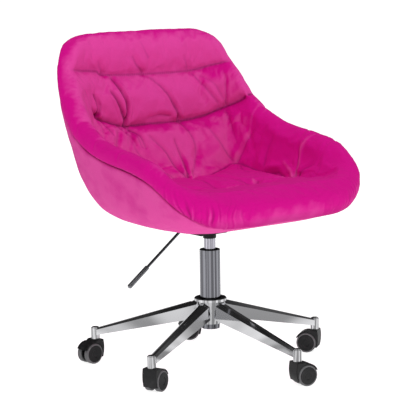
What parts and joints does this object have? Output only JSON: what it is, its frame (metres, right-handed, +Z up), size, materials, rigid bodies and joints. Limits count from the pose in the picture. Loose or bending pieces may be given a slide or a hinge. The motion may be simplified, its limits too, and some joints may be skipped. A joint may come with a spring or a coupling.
{
  "type": "styling chair",
  "caption": "Tufted bucket seat on a gas lift with a release lever, over a star base on twin-wheel casters.",
  "frame": {"origin": "on the floor under the swivel axis", "axes": "+Z up, the seat faces -Y, the sitter's left is +X"},
  "size_m": [0.6116, 0.6237, 0.8019],
  "materials": {
    "velvet": "matte",
    "velvet_outside": "matte",
    "moulded_ply": "satin",
    "polished_chrome": "polished",
    "hard_chrome": "polished",
    "lever_chrome": "satin",
    "steel": "satin",
    "black_steel": "satin",
    "black_plastic": "satin",
    "black_nylon": "satin",
    "grey_tread": "matte",
    "black_rubber": "matte"
  },
  "bodies": {
    "base": {"star_base": "polished_chrome", "hub_ring": "black_plastic", "stand_tube": "polished_chrome", "guide_bush": "black_plastic", "thrust_bearing": "steel", "caster_stem_1": "steel", "caster_stem_2": "steel", "caster_stem_3": "steel", "caster_stem_4": "steel", "caster_stem_5": "steel"},
    "lift_rod": {"piston_rod": "hard_chrome", "bumper": "black_rubber", "retaining_clip": "steel"},
    "seat": {"gas_cylinder": "hard_chrome", "taper_socket": "black_plastic", "seat_plate": "black_steel", "mechanism_bracket": "black_steel", "lever_pivot_pin": "steel", "seat_washers": "steel", "seat_bolts": "steel", "tee_nuts": "steel", "seat_shell": "moulded_ply", "inner_cushion": "velvet", "outer_cover": "velvet_outside"},
    "release_pin": {"release_pin": "steel"},
    "lever": {"lever_rod": "lever_chrome", "lever_grip": "lever_chrome"},
    "caster_1": {"caster_hood_1": "black_nylon", "caster_axle_1": "steel"},
    "wheel_1a": {"caster_wheel_1a": "black_nylon", "caster_tread_1a": "grey_tread"},
    "wheel_1b": {"caster_wheel_1b": "black_nylon", "caster_tread_1b": "grey_tread"},
    "caster_2": {"caster_hood_2": "black_nylon", "caster_axle_2": "steel"},
    "wheel_2a": {"caster_wheel_2a": "black_nylon", "caster_tread_2a": "grey_tread"},
    "wheel_2b": {"caster_wheel_2b": "black_nylon", "caster_tread_2b": "grey_tread"},
    "caster_3": {"caster_hood_3": "black_nylon", "caster_axle_3": "steel"},
    "wheel_3a": {"caster_wheel_3a": "black_nylon", "caster_tread_3a": "grey_tread"},
    "wheel_3b": {"caster_wheel_3b": "black_nylon", "caster_tread_3b": "grey_tread"},
    "caster_4": {"caster_hood_4": "black_nylon", "caster_axle_4": "steel"},
    "wheel_4a": {"caster_wheel_4a": "black_nylon", "caster_tread_4a": "grey_tread"},
    "wheel_4b": {"caster_wheel_4b": "black_nylon", "caster_tread_4b": "grey_tread"},
    "caster_5": {"caster_hood_5": "black_nylon", "caster_axle_5": "steel"},
    "wheel_5a": {"caster_wheel_5a": "black_nylon", "caster_tread_5a": "grey_tread"},
    "wheel_5b": {"caster_wheel_5b": "black_nylon", "caster_tread_5b": "grey_tread"}
  },
  "joints": [
    {"name": "seat_swivel", "type": "hinge", "parent": "base", "child": "lift_rod", "pos_m": [0, 0, 0.1], "axis": [0, 0, 1], "continuous": true},
    {"name": "seat_lift", "type": "slide", "parent": "lift_rod", "child": "seat", "axis": [0, 0, 1], "range_m": [0, 0.1]},
    {"name": "lever_lift", "type": "hinge", "parent": "seat", "child": "lever", "pos_m": [-0.03, 0, 0.345], "axis": [0, 1, 0], "range_deg": [0, 6], "stiffness_Nm_per_rad": 1.5, "springref_deg": -2.86},
    {"name": "release_press", "type": "slide", "parent": "seat", "child": "release_pin", "axis": [0, 0, 1], "range_m": [-0.0035, 0]},
    {"name": "caster_1_swivel", "type": "hinge", "parent": "base", "child": "caster_1", "pos_m": [0.28234, -0.06622, 0.0578], "axis": [0, 0, 1], "continuous": true},
    {"name": "wheel_1a_spin", "type": "hinge", "parent": "caster_1", "child": "wheel_1a", "pos_m": [0.27227, -0.0513, 0.025], "axis": [-0.829, -0.5592, 0], "continuous": true},
    {"name": "wheel_1b_spin", "type": "hinge", "parent": "caster_1", "child": "wheel_1b", "pos_m": [0.27227, -0.0513, 0.025], "axis": [-0.829, -0.5592, 0], "continuous": true},
    {"name": "caster_2_swivel", "type": "hinge", "parent": "base", "child": "caster_2", "pos_m": [0.15023, 0.24806, 0.0578], "axis": [0, 0, 1], "continuous": true},
    {"name": "wheel_2a_spin", "type": "hinge", "parent": "caster_2", "child": "wheel_2a", "pos_m": [0.13448, 0.25678, 0.025], "axis": [-0.4848, -0.8746, 0], "continuous": true},
    {"name": "wheel_2b_spin", "type": "hinge", "parent": "caster_2", "child": "wheel_2b", "pos_m": [0.13448, 0.25678, 0.025], "axis": [-0.4848, -0.8746, 0], "continuous": true},
    {"name": "caster_3_swivel", "type": "hinge", "parent": "base", "child": "caster_3", "pos_m": [-0.18949, 0.21953, 0.0578], "axis": [0, 0, 1], "continuous": true},
    {"name": "wheel_3a_spin", "type": "hinge", "parent": "caster_3", "child": "wheel_3a", "pos_m": [-0.20745, 0.21827, 0.025], "axis": [0.0698, -0.9976, 0], "continuous": true},
    {"name": "wheel_3b_spin", "type": "hinge", "parent": "caster_3", "child": "wheel_3b", "pos_m": [-0.20745, 0.21827, 0.025], "axis": [0.0698, -0.9976, 0], "continuous": true},
    {"name": "caster_4_swivel", "type": "hinge", "parent": "base", "child": "caster_4", "pos_m": [-0.26734, -0.11238, 0.0578], "axis": [0, 0, 1], "continuous": true},
    {"name": "wheel_4a_spin", "type": "hinge", "parent": "caster_4", "child": "wheel_4a", "pos_m": [-0.25065, -0.10564, 0.025], "axis": [-0.3746, 0.9272, 0], "continuous": true},
    {"name": "wheel_4b_spin", "type": "hinge", "parent": "caster_4", "child": "wheel_4b", "pos_m": [-0.25065, -0.10564, 0.025], "axis": [-0.3746, 0.9272, 0], "continuous": true},
    {"name": "caster_5_swivel", "type": "hinge", "parent": "base", "child": "caster_5", "pos_m": [0.02427, -0.28898, 0.0578], "axis": [0, 0, 1], "continuous": true},
    {"name": "wheel_5a_spin", "type": "hinge", "parent": "caster_5", "child": "wheel_5a", "pos_m": [0.04194, -0.29242, 0.025], "axis": [0.1908, 0.9816, 0], "continuous": true},
    {"name": "wheel_5b_spin", "type": "hinge", "parent": "caster_5", "child": "wheel_5b", "pos_m": [0.04194, -0.29242, 0.025], "axis": [0.1908, 0.9816, 0], "continuous": true}
  ],
  "couplings": [
    {"joint": "release_press", "follows": "lever_lift", "m_per_rad": -0.033}
  ]
}
